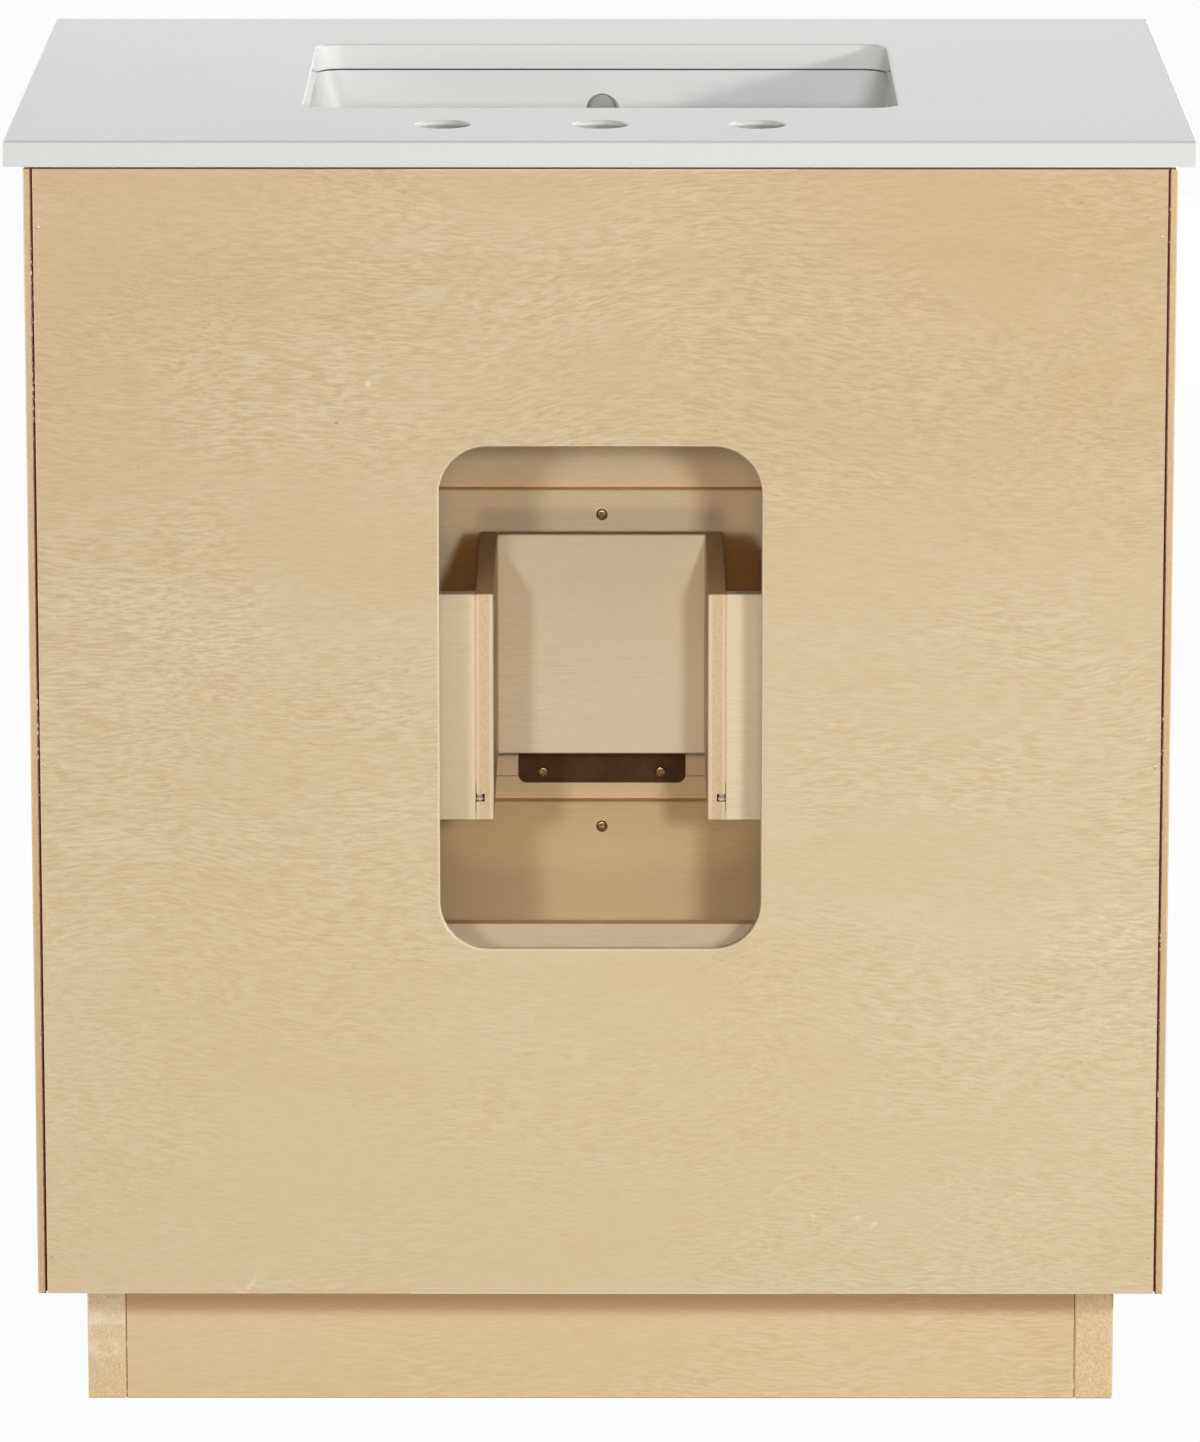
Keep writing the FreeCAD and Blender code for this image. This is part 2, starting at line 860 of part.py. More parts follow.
# Drawer member: channel under the drawer bottom with a hook into the rear board
def slide(level):
    x = slide_spans()
    top = panel_under(level)
    channel = extruded(hat(x, (top - slide_leg, top), runner_gauge), deep(box_rear, box_front_inner))
    tab_y = deep(box_rear - runner_gauge, box_rear)
    tab = block(x, tab_y, (top - runner_gauge, top + hook_rise))
    start = vec(slide_middle(), wall - box_rear, hook_pin_height(level))
    pin = cylinder(hook_pin_diameter, hook_pin_length, start, vec(0, -1, 0))
    return channel.fuse([tab, pin]).removeSplitter()


def carriage_x():
    low, high = slide_spans()
    return (low + runner_gauge + carriage_gap, high - runner_gauge - carriage_gap)


def carriage_z(level):
    floor = box_bottom(level) - rail_drop + runner_gauge
    return (floor + running_gap + glide_height, slide_under(level) - running_gap - glide_height)


def carriage_y():
    return deep(box_rear + drawer_board + carriage_end_gap, box_front_inner - carriage_end_gap)


# Y spans of the two glide shoes near the ends of a carriage
def glide_spans():
    low, high = carriage_y()
    first = low + glide_end_inset
    last = high - glide_end_inset
    return [(first, first + glide_length), (last - glide_length, last)]


def glide_peg(level, y, radius_gap=0.0):
    x = carriage_x()
    centre = vec((x[0] + x[1]) / 2, (y[0] + y[1]) / 2, carriage_z(level)[1])
    return cylinder(glide_peg_diameter + 2 * radius_gap, glide_plug, centre, vec(0, 0, -1))


def carriage(level):
    channel = extruded(hat(carriage_x(), carriage_z(level), runner_gauge), carriage_y())
    return cut_all(channel, [glide_peg(level, y, screw_clearance) for y in glide_spans()])


# Plastic shoes: pads on top with a peg, and pads below with a plug between the legs
def glides(level):
    x = carriage_x()
    z = carriage_z(level)
    plug_x = grown(x, -runner_gauge)
    shoes = []
    for y in glide_spans():
        pad = block(x, y, (z[1], z[1] + glide_height))
        shoes.append(pad.fuse(glide_peg(level, y)))
        sole = block(x, y, (z[0] - glide_height, z[0]))
        shoes.append(sole.fuse(block(plug_x, y, (z[0], z[0] + glide_plug))).removeSplitter())
    return shoes + [mirrored(shoe) for shoe in shoes]


# Block behind the box front's lower edge that couples the drawer to its slide
def coupler(level):
    inner = slide_spans()[0]
    y = deep(box_front_inner - coupler_length, box_front_inner)
    z = (panel_under(level) - coupler_height, panel_under(level))
    return plank((inner - coupler_width, inner), y, z)


def build_top():
    save("countertop", [countertop()])
    save("countertop_sealant", countertop_sealant())
    save("basin", [basin()])
    save("basin_seal", [basin_seal()])
    save("basin_clips", basin_clips())
    save("basin_studs", basin_studs())
    save("basin_nuts", basin_nuts())


def build_carcass():
    right = side_panel()
    save("side_panel_right", [right])
    save("side_panel_left", [mirrored(right)])
    save("back_panel", [back_panel()])
    save("bottom_panel", [bottom_panel()])
    save("rear_rail", [rear_rail()])
    save("front_rail", [front_rail()])
    save("middle_rail", [middle_rail()])
    save("corner_blocks", corner_blocks())
    save("carcass_dowels", carcass_dowels())
    save("drawer_bumpers", drawer_bumpers())
    save("false_front_panel", [front_panel(2, false_front_holes())])
    save("false_front_frame", front_frame(2, false_front_holes()))
    save("false_front_screws", false_front_screws())
    save("runner_screws", runner_screws())


def build_plinth():
    save("plinth_right", [plinth_side()])
    save("plinth_left", [mirrored(plinth_side())])
    save("plinth_rear", [plinth_cross(plinth_rear_setback)])
    save("plinth_front", [plinth_cross(plinth_front_near())])
    save("plinth_blocks", plinth_blocks())


def build_drawer(name, level):
    holes = face_holes(level) + pull_holes(level)
    right = drawer_side(level)
    save(name + "_drawer_side_right", [right])
    save(name + "_drawer_side_left", [mirrored(right)])
    save(name + "_drawer_box_front", [drawer_box_front(level)])
    save(name + "_drawer_panel", [front_panel(level, holes)])
    save(name + "_drawer_frame", front_frame(level, holes))
    save(name + "_drawer_face_screws", face_screws(level))
    save(name + "_drawer_pull", [pull(level)])
    save(name + "_drawer_pull_screws", pull_screws(level))
    save(name + "_rails", pair(rail(level)))
    save(name + "_carriages", pair(carriage(level)))
    save(name + "_glides", glides(level))
    save(name + "_slides", pair(slide(level)))
    save(name + "_couplers", pair(coupler(level)))


def build_lower_box():
    save("lower_drawer_back", [drawer_back(0, both(box_inner))])
    save("lower_drawer_bottom", [drawer_floor(0)])


def build_upper_box():
    leg = drawer_back(1, (half_notch + drawer_board, box_inner))
    save("upper_drawer_back_right", [leg])
    save("upper_drawer_back_left", [mirrored(leg)])
    save("upper_drawer_notch_right", [notch_side(1)])
    save("upper_drawer_notch_left", [mirrored(notch_side(1))])
    save("upper_drawer_notch_front", [notch_wall(1)])
    save("upper_drawer_bottom", [notched_floor(1)])


os.makedirs("parts", exist_ok=True)
build_top()
build_carcass()
build_plinth()
build_drawer("lower", 0)
build_lower_box()
build_drawer("upper", 1)
build_upper_box()
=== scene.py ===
import bpy
import math
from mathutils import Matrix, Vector


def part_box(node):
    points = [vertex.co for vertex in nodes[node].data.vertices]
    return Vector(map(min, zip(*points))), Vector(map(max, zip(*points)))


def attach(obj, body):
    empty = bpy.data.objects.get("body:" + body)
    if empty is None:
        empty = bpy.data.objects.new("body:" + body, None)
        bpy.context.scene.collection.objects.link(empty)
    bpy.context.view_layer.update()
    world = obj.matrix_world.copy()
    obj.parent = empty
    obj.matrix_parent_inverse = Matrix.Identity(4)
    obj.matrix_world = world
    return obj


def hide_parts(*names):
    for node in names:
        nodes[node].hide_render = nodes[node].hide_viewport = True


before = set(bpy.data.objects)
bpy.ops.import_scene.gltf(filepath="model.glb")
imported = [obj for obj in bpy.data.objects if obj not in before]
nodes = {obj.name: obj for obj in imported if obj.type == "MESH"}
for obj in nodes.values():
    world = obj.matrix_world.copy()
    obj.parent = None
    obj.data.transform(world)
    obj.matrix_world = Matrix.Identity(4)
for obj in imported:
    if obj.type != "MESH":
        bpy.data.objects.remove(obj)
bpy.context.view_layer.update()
scene = bpy.context.scene
scene.view_settings.view_transform = "Standard"
origin = (0.0, 0.0, 0.0)
alongX, alongY, alongZ = (1.0, 0.0, 0.0), (0.0, 1.0, 0.0), (0.0, 0.0, 1.0)
quarterTurn = math.pi / 2
print("frame loaded,", len(nodes), "nodes")


# node shorthand for the finishes; a span is the two values between which a field sets in
falling = (1.0, 0.0)
facesRear = (0.5, 0.9)
facesAlong = (0.55, 0.85)
roundedSpan = (0.80, 0.985)
roundedSamples = 6
noiseMean = 0.5
cutShift = (1.0, 0.7, 1.3)


def startFinish(name):
    finish = bpy.data.materials.new(name)
    finish.use_nodes = True
    tree = finish.node_tree
    return finish, tree, tree.nodes["Principled BSDF"]


def plug(tree, socket, value):
    if isinstance(value, bpy.types.NodeSocket):
        tree.links.new(value, socket)
    elif hasattr(value, "__len__") and len(value) == 3 and socket.type == "RGBA":
        socket.default_value = (*value, 1.0)
    else:
        socket.default_value = value


def vectorMath(tree, operation, first, second):
    node = tree.nodes.new("ShaderNodeVectorMath")
    node.operation = operation
    plug(tree, node.inputs[0], first)
    plug(tree, node.inputs["Scale" if operation == "SCALE" else 1], second)
    return node.outputs["Value" if operation in ("DOT_PRODUCT", "DISTANCE") else "Vector"]


def maths(tree, operation, first, second=0.0):
    node = tree.nodes.new("ShaderNodeMath")
    node.operation = operation
    plug(tree, node.inputs[0], first)
    plug(tree, node.inputs[1], second)
    return node.outputs["Value"]


def times(tree, first, second):
    return maths(tree, "MULTIPLY", first, second)


def noise(tree, coords, cells, detail=3.0, rough=0.55, colour=False):
    node = tree.nodes.new("ShaderNodeTexNoise")
    plug(tree, node.inputs["Vector"], vectorMath(tree, "MULTIPLY", coords, cells))
    node.inputs["Scale"].default_value = 1.0
    node.inputs["Detail"].default_value = detail
    node.inputs["Roughness"].default_value = rough
    return node.outputs["Color" if colour else "Fac"]


def ramp(tree, value, span, ends=(0.0, 1.0)):
    node = tree.nodes.new("ShaderNodeMapRange")
    node.interpolation_type = "SMOOTHSTEP"
    plug(tree, node.inputs["Value"], value)
    node.inputs["From Min"].default_value, node.inputs["From Max"].default_value = span
    node.inputs["To Min"].default_value, node.inputs["To Max"].default_value = ends
    return node.outputs["Result"]


def tint(tree, amount, base, over):
    node = tree.nodes.new("ShaderNodeMix")
    node.data_type = "RGBA"
    plug(tree, node.inputs["Factor"], amount)
    plug(tree, node.inputs["A"], base)
    plug(tree, node.inputs["B"], over)
    return node.outputs["Result"]


def emboss(tree, shader, height, strength, depth):
    node = tree.nodes.new("ShaderNodeBump")
    node.inputs["Strength"].default_value = strength
    node.inputs["Distance"].default_value = depth
    plug(tree, node.inputs["Height"], height)
    plug(tree, shader.inputs["Normal"], node.outputs["Normal"])


def objectCoords(tree, wander=0.0):
    coords = tree.nodes.new("ShaderNodeTexCoord").outputs["Object"]
    if not wander:
        return coords
    spread = tree.nodes.new("ShaderNodeObjectInfo").outputs["Random"]  # each board its own cut of veneer
    reach = tuple(wander * share for share in cutShift)
    return vectorMath(tree, "ADD", coords, vectorMath(tree, "SCALE", reach, spread))


def part(tree, vector, axis):
    node = tree.nodes.new("ShaderNodeSeparateXYZ")
    plug(tree, node.inputs["Vector"], vector)
    return node.outputs[axis]


def outward(tree, coords):
    return maths(tree, "ABSOLUTE", part(tree, coords, "X"))


def within(tree, value, span):
    over = maths(tree, "GREATER_THAN", value, span[0])
    return times(tree, over, maths(tree, "LESS_THAN", value, span[1]))


def facing(tree, direction):
    normal = tree.nodes.new("ShaderNodeNewGeometry").outputs["Normal"]
    return vectorMath(tree, "DOT_PRODUCT", normal, direction)


def across(tree, axis):
    return ramp(tree, maths(tree, "ABSOLUTE", facing(tree, axis)), facesAlong)


def roundedEdge(tree, radius):
    rounded = tree.nodes.new("ShaderNodeBevel")
    rounded.samples = roundedSamples
    rounded.inputs["Radius"].default_value = radius
    return ramp(tree, facing(tree, rounded.outputs["Normal"]), roundedSpan, falling)


def dress(finish, *names):
    for name in names:
        for slot in nodes[name].material_slots:
            slot.material = finish


# wood: crest and trough are the light and dark sides of the ripples,
# rim the long cut edges, core the end grain
veneer = {
    "crest": (0.705, 0.560, 0.352), "trough": (0.590, 0.424, 0.232), "warm": (0.620, 0.432, 0.228),
    "fleck": (0.420, 0.262, 0.128), "rim": (0.560, 0.372, 0.196), "core": (0.560, 0.372, 0.196),
    "chalk": (0.800, 0.745, 0.650), "scuff": (0.850, 0.830, 0.790),
    "grain": alongX, "face": alongY, "turn": (0.0, 0.0, 0.0), "wander": 3.0,
    "wave": 0.018, "curl": 0.0035, "dash": (0.0125, 0.0017), "fleckAmount": 0.20, "blush": 0.55,
    "chalkAmount": 0.0, "chalkFrom": 0.62, "rough": 0.50, "knots": [], "scuffs": [],
}
backVeneer = dict(
    veneer, crest=(0.588, 0.476, 0.317), trough=(0.486, 0.356, 0.208), warm=(0.512, 0.365, 0.203),
    fleck=(0.345, 0.219, 0.109), wander=0.0, wave=0.036, fleckAmount=0.26, chalkAmount=0.08, rough=0.55,
    # painted light: the back is painted lighter low down and darker high up
    fadeAndBounceLight={"low": (1.085, 1.135, 1.185), "high": (0.935, 0.905, 0.875), "z": (0.08, 0.80)},
    # painted highlight along the rim of the pipe cut-out
    rimHighlight={"tone": (0.930, 0.890, 0.820), "within": 0.125, "amount": 0.8, "radius": 0.0016},
    # place across and up, half length, half width, slant
    knots=[(0.1695, 0.6550, 0.0016, 0.0010, 30), (-0.3070, 0.7980, 0.0013, 0.0011, 0),
           (0.2964, 0.6263, 0.0011, 0.0008, 0)],
    scuffs=[(0.2291, 0.0813, 0.0060, 0.0022, 45), (0.2350, 0.0756, 0.0050, 0.0012, 0),
            (-0.1387, 0.1280, 0.0024, 0.0019, 0), (-0.1680, 0.1269, 0.0050, 0.0018, 12),
            (-0.1790, 0.1220, 0.0026, 0.0022, 20), (0.1487, 0.6811, 0.0032, 0.0030, 60)])
sideVeneer = dict(
    veneer, turn=(0.0, quarterTurn, 0.0), grain=alongZ, face=alongX, chalkAmount=0.10,
    rim=(0.450, 0.312, 0.175), rough=0.40,
    seam={"from": 0.3622, "to": 0.3647, "stain": (0.150, 0.028, 0.008)})
frontVeneer = dict(
    veneer, crest=(0.775, 0.600, 0.385), trough=(0.685, 0.490, 0.280), rough=0.38,
    # painted light: the inner side of the fronts is painted paler
    innerSideLight={"tone": (0.960, 0.740, 0.470), "amount": 0.62})
plinthVeneer = dict(
    veneer, crest=(0.645, 0.514, 0.330), trough=(0.540, 0.389, 0.220), warm=(0.567, 0.396, 0.216),
    fleckAmount=0.12, chalkAmount=0.25, blush=0.35,
    # painted shadow under the cabinet's edge
    overhangShadow={"z": (0.0545, 0.0650), "tone": (0.300, 0.115, 0.035), "amount": 0.58},
    seam={"from": 0.3112, "to": 0.3124, "stain": (0.330, 0.120, 0.040)})
plinthSide = dict(
    plinthVeneer, turn=(0.0, 0.0, quarterTurn), grain=alongY, face=alongX,
    core=(0.690, 0.510, 0.310), chalkAmount=0.42, chalkFrom=0.50, chalkEnds=True,
    # painted shadow, fainter on the end boards
    overhangShadow=dict(plinthVeneer["overhangShadow"], amount=0.15))
carcassPly = dict(veneer, wave=0.036, chalkAmount=0.1, rough=0.55)
carcassFloor = dict(carcassPly, face=alongZ)
drawerPly = dict(
    veneer, crest=(0.830, 0.645, 0.435), trough=(0.775, 0.580, 0.372), warm=(0.770, 0.565, 0.350),
    rim=(0.860, 0.420, 0.160), core=(0.760, 0.410, 0.165), wave=0.006, curl=0.0012,
    dash=(0.0200, 0.0011), fleckAmount=0.10, blush=0.45, rough=0.45)
# painted light and shade: copies of the drawer ply toned for the light each board gets; the upper box front
# and the legs lighter, the lower box front deeper and redder, the notch face less red
upperBox = dict(
    drawerPly, crest=(0.945, 0.735, 0.475), trough=(0.900, 0.675, 0.410), warm=(0.900, 0.665, 0.395))
lowerBox = dict(
    drawerPly, crest=(0.860, 0.630, 0.355), trough=(0.810, 0.562, 0.297), warm=(0.810, 0.551, 0.282))
notchFace = dict(
    drawerPly, crest=(0.799, 0.674, 0.486), trough=(0.749, 0.607, 0.416), warm=(0.744, 0.591, 0.388))
legPly = dict(
    drawerPly, crest=(0.915, 0.755, 0.530), trough=(0.865, 0.690, 0.465), warm=(0.865, 0.690, 0.465),
    rim=(0.820, 0.600, 0.380))
drawerSide = dict(drawerPly, turn=(0.0, 0.0, quarterTurn), grain=alongY, face=alongX)
notchSide = dict(
    drawerSide, core=(0.700, 0.490, 0.290), skins=(0.0772, 0.0034),
    # painted shade in the open end of the groove
    pocket={"x": [(0.0766, 0.0834)], "y": (0.1255, 0.1331), "z": (0.366, 0.385),
            "burn": (0.120, 0.045, 0.018)})
drawerFloor = dict(drawerPly, face=alongZ)
notchFloor = dict(
    drawerFloor,
    # painted shade in the open end of the groove
    pocket={"x": [(0.0760, 0.0789), (0.0822, 0.0850)], "y": (0.1255, 0.1290), "z": (0.366, 0.385),
            "burn": (0.080, 0.026, 0.010)})
# what all woods share: noise cells per metre, along the grain first, and spans and amounts
woodField = {
    "swayCells": (3.0, 3.0, 3.0), "curlCells": (22.0, 30.0, 30.0),
    "calmCells": (6.0, 9.0, 9.0), "calmSpan": (0.36, 0.60), "calmEnds": (0.35, 1.0),
    "dashSpan": (0.28, 0.72), "fleckCells": (1.7, 2.1), "fleckSpan": (0.60, 0.72),
    "bandCells": (2.5, 26.0, 26.0), "bandSpan": (0.34, 0.68), "bandAmount": 0.18,
    "blushCells": (1.7, 2.6, 2.6), "blushSpan": (0.38, 0.66),
    "raggedCells": (260.0, 260.0, 260.0), "raggedAmount": 2.2,
    "markSpan": (0.3, 1.1), "scuffAmount": 0.22,
    "gritCells": (620.0, 620.0, 500.0), "coreSpan": (0.34, 0.70),
    "rimSpan": (0.20, 0.55), "rimAmount": 0.85, "skinFade": 0.0008,
    "smearCells": (14.0, 30.0, 26.0), "smearFade": 0.14,
    "dustCells": (60.0, 60.0, 90.0), "dustSpan": (0.30, 0.62), "dustEnds": (0.15, 0.60),
    "easedRadius": 0.0011,
    "frayCells": (300.0, 300.0, 240.0), "frayWidth": 0.0008, "fraySpan": (0.0, 0.0004),
    "gapCells": (3.0, 3.0, 7.0), "gapSpan": (0.46, 0.62), "gapAmount": 0.22, "brokenSpan": (0.18, 0.30),
    "seamFade": 0.0002,
    "gloss": 0.30, "roughSpread": 0.12, "bump": 0.30, "bumpDepth": 0.00010, "rippleHeight": -0.6,
}


def drift(tree, coords, cells, reach):
    field = noise(tree, coords, cells, detail=1.0, rough=0.5, colour=True)
    swing = vectorMath(tree, "SUBTRACT", field, (noiseMean,) * 3)
    return vectorMath(tree, "SCALE", swing, 2 * reach)


def grainFields(tree, wood, coords):
    turned = tree.nodes.new("ShaderNodeMapping")
    plug(tree, turned.inputs["Vector"], coords)
    turned.inputs["Rotation"].default_value = wood["turn"]
    along = turned.outputs["Vector"]  # the grain runs along X from here on
    flow = vectorMath(tree, "ADD", along, drift(tree, along, woodField["swayCells"], wood["wave"]))
    flow = vectorMath(tree, "ADD", flow, drift(tree, along, woodField["curlCells"], wood["curl"]))
    length, width = wood["dash"]
    # short wavy ripples, calm in places
    calm = noise(tree, along, woodField["calmCells"], detail=2.0)
    calm = ramp(tree, calm, woodField["calmSpan"], woodField["calmEnds"])
    dashes = noise(tree, flow, (1 / length, 1 / width, 1 / width), detail=2.0)
    dashes = maths(tree, "SUBTRACT", ramp(tree, dashes, woodField["dashSpan"]), noiseMean)
    ripple = maths(tree, "ADD", times(tree, dashes, calm), noiseMean)
    lengthwise, sidewise = woodField["fleckCells"]
    cells = (lengthwise / length, sidewise / width, sidewise / width)
    specks = noise(tree, flow, cells, detail=1.0, rough=0.5)
    fleck = times(tree, ramp(tree, specks, woodField["fleckSpan"]), calm)
    bands = ramp(tree, noise(tree, flow, woodField["bandCells"]), woodField["bandSpan"])
    blush = noise(tree, along, woodField["blushCells"], detail=2.0)
    blush = ramp(tree, blush, woodField["blushSpan"], (0.0, wood["blush"]))
    return ripple, fleck, bands, blush


def sheetColour(tree, wood, place, fields):
    ripple, fleck, bands, blush = fields
    colour = tint(tree, ripple, wood["crest"], wood["trough"])
    colour = tint(tree, times(tree, bands, woodField["bandAmount"]), colour, wood["warm"])
    colour = tint(tree, blush, colour, wood["warm"])
    colour = tint(tree, times(tree, fleck, wood["fleckAmount"]), colour, wood["fleck"])
    if "fadeAndBounceLight" in wood:
        # painted light: lighter towards the floor and darker towards the top, standing in for the floor's
        # bounce light
        fadeAndBounceLight = wood["fadeAndBounceLight"]
        height = ramp(tree, part(tree, place, "Z"), fadeAndBounceLight["z"])
        colour = vectorMath(tree, "MULTIPLY", colour, tint(tree, height, fadeAndBounceLight["low"], fadeAndBounceLight["high"]))
    if "innerSideLight" in wood:
        # painted light: the inner side is painted paler, as if more light fell on it
        innerSideLight = wood["innerSideLight"]
        inner = ramp(tree, facing(tree, alongY), facesRear, (0.0, innerSideLight["amount"]))
        colour = tint(tree, inner, colour, innerSideLight["tone"])
    return colour


def mark(tree, place, facts, ragged):
    x, z, length, width, slant = facts
    local = tree.nodes.new("ShaderNodeMapping")
    local.vector_type = "TEXTURE"
    plug(tree, local.inputs["Vector"], place)
    local.inputs["Location"].default_value = (x, 0.0, z)
    local.inputs["Rotation"].default_value = (0.0, math.radians(slant), 0.0)
    local.inputs["Scale"].default_value = (length, 1.0, width)
    flat = vectorMath(tree, "MULTIPLY", local.outputs["Vector"], (1.0, 0.0, 1.0))
    away = vectorMath(tree, "DISTANCE", flat, origin)
    rough = times(tree, maths(tree, "SUBTRACT", ragged, noiseMean), woodField["raggedAmount"])
    return ramp(tree, maths(tree, "ADD", away, rough), woodField["markSpan"], falling)


def markedColour(tree, wood, colour, place, ragged):
    for facts in wood["knots"]:
        colour = tint(tree, mark(tree, place, facts, ragged), colour, wood["fleck"])
    for facts in wood["scuffs"]:
        haze = times(tree, mark(tree, place, facts, ragged), woodField["scuffAmount"])
        colour = tint(tree, haze, colour, wood["scuff"])
    return colour


def cutColour(tree, wood, colour, place, coords, ragged):
    # cut edges show the core between its two pale skins
    grit = noise(tree, coords, woodField["gritCells"], rough=0.7)
    core = tint(tree, ramp(tree, grit, woodField["coreSpan"]), wood["trough"], wood["core"])
    rim = tint(tree, ramp(tree, grit, woodField["rimSpan"]), wood["trough"], wood["rim"])
    if "skins" in wood:
        centre, half = wood["skins"]
        fadeAndBounceLight = woodField["skinFade"]
        off = maths(tree, "ABSOLUTE", maths(tree, "SUBTRACT", outward(tree, place), centre))
        off = maths(tree, "ADD", off, times(tree, ragged, fadeAndBounceLight))
        core = tint(tree, ramp(tree, off, (half, half + fadeAndBounceLight)), core, wood["crest"])
    cutEdge = ramp(tree, across(tree, wood["face"]), (0.0, 1.0), falling)
    colour = tint(tree, times(tree, cutEdge, woodField["rimAmount"]), colour, rim)
    return tint(tree, across(tree, wood["grain"]), colour, core)


def wornColour(tree, wood, colour, coords):
    if wood["chalkAmount"]:
        smear = noise(tree, coords, woodField["smearCells"], detail=4.0, rough=0.65)
        span = (wood["chalkFrom"], wood["chalkFrom"] + woodField["smearFade"])
        patch = ramp(tree, smear, span, (0.0, wood["chalkAmount"]))
        if "chalkEnds" in wood:
            patch = times(tree, patch, across(tree, wood["grain"]))
        colour = tint(tree, patch, colour, wood["chalk"])
    dust = noise(tree, coords, woodField["dustCells"], detail=4.0, rough=0.7)
    dust = ramp(tree, dust, woodField["dustSpan"], woodField["dustEnds"])
    eased = times(tree, roundedEdge(tree, woodField["easedRadius"]), dust)
    return tint(tree, eased, colour, wood["chalk"])


def seamStain(tree, seam, place):
    # dark line along a joint, frayed and broken in places
    side = outward(tree, place)
    frayed = noise(tree, place, woodField["frayCells"], detail=2.0, rough=0.6)
    gaps = noise(tree, place, woodField["gapCells"], detail=2.0)
    gaps = ramp(tree, gaps, woodField["gapSpan"], (0.0, woodField["gapAmount"]))
    reach = maths(tree, "SUBTRACT", seam["to"], times(tree, frayed, woodField["frayWidth"]))
    inside = ramp(tree, maths(tree, "SUBTRACT", reach, side), woodField["fraySpan"])
    broken = ramp(tree, maths(tree, "SUBTRACT", frayed, gaps), woodField["brokenSpan"])
    start = ramp(tree, side, (seam["from"] - woodField["seamFade"], seam["from"]))
    return times(tree, times(tree, inside, start), broken)


# seam stains, and painted light: a highlight on the cut-out rim, the overhang's shadow on the plinth, shade
# in the groove ends
def stainsAndPaintedLight(tree, wood, colour, place):
    if "seam" in wood:
        colour = tint(tree, seamStain(tree, wood["seam"], place), colour, wood["seam"]["stain"])
    if "rimHighlight" in wood:
        # painted highlight: a pale line on the rounded rim of the pipe cut-out, where its edge catches the
        # light
        line = wood["rimHighlight"]
        near = times(tree, maths(tree, "LESS_THAN", outward(tree, place), line["within"]), line["amount"])
        colour = tint(tree, times(tree, roundedEdge(tree, line["radius"]), near), colour, line["tone"])
    if "overhangShadow" in wood:
        # painted shadow of the cabinet's overhang, just under its edge on the plinth
        overhangShadow = wood["overhangShadow"]
        reach = ramp(tree, part(tree, place, "Z"), overhangShadow["z"], (0.0, overhangShadow["amount"]))
        colour = tint(tree, reach, colour, overhangShadow["tone"])
    if "pocket" in wood:
        # painted shade on the walls and corners at the open end of the groove
        pocket = wood["pocket"]
        side = outward(tree, place)
        deep = times(tree, within(tree, part(tree, place, "Y"), pocket["y"]),
                     within(tree, part(tree, place, "Z"), pocket["z"]))
        for span in pocket["x"]:
            colour = tint(tree, times(tree, deep, within(tree, side, span)), colour, pocket["burn"])
    return colour


def woodFinish(name, wood):
    finish, tree, shader = startFinish(name)
    place = objectCoords(tree)
    coords = objectCoords(tree, wood["wander"])
    ragged = noise(tree, place, woodField["raggedCells"], rough=0.65)
    fields = grainFields(tree, wood, coords)
    colour = sheetColour(tree, wood, place, fields)
    colour = markedColour(tree, wood, colour, place, ragged)
    colour = cutColour(tree, wood, colour, place, coords, ragged)
    colour = wornColour(tree, wood, colour, coords)
    colour = stainsAndPaintedLight(tree, wood, colour, place)
    ripple, fleck, bands = fields[:3]
    rough = ramp(tree, bands, (0.0, 1.0), (wood["rough"], wood["rough"] + woodField["roughSpread"]))
    height = maths(tree, "SUBTRACT", times(tree, ripple, woodField["rippleHeight"]), fleck)
    plug(tree, shader.inputs["Base Color"], colour)
    plug(tree, shader.inputs["Roughness"], rough)
    shader.inputs["Specular IOR Level"].default_value = woodField["gloss"]
    emboss(tree, shader, height, woodField["bump"], woodField["bumpDepth"])
    return finish


dress(woodFinish("backVeneer", backVeneer), "back_panel")
dress(woodFinish("sideVeneer", sideVeneer), "side_panel_left", "side_panel_right")
dress(woodFinish("frontVeneer", frontVeneer), "false_front_panel", "false_front_frame",
      "upper_drawer_panel", "upper_drawer_frame", "lower_drawer_panel", "lower_drawer_frame")
dress(woodFinish("plinthVeneer", plinthVeneer), "plinth_front", "plinth_rear", "plinth_blocks")
dress(woodFinish("plinthSide", plinthSide), "plinth_left", "plinth_right")
dress(woodFinish("carcassPly", carcassPly), "rear_rail", "front_rail", "middle_rail", "corner_blocks",
      "carcass_dowels")
dress(woodFinish("carcassFloor", carcassFloor), "bottom_panel")
dress(woodFinish("upperBox", upperBox), "upper_drawer_box_front")
dress(woodFinish("lowerBox", lowerBox), "lower_drawer_box_front")
dress(woodFinish("notchFace", notchFace), "upper_drawer_notch_front")
dress(woodFinish("drawerPly", drawerPly), "lower_drawer_back")
dress(woodFinish("legPly", legPly), "upper_drawer_back_left", "upper_drawer_back_right")
dress(woodFinish("drawerFloor", drawerFloor), "lower_drawer_bottom")
dress(woodFinish("notchFloor", notchFloor), "upper_drawer_bottom")
dress(woodFinish("drawerSide", drawerSide), "upper_drawer_side_left", "upper_drawer_side_right",
      "lower_drawer_side_left", "lower_drawer_side_right")
dress(woodFinish("notchSide", notchSide), "upper_drawer_notch_left", "upper_drawer_notch_right")
print("wood finishes done")


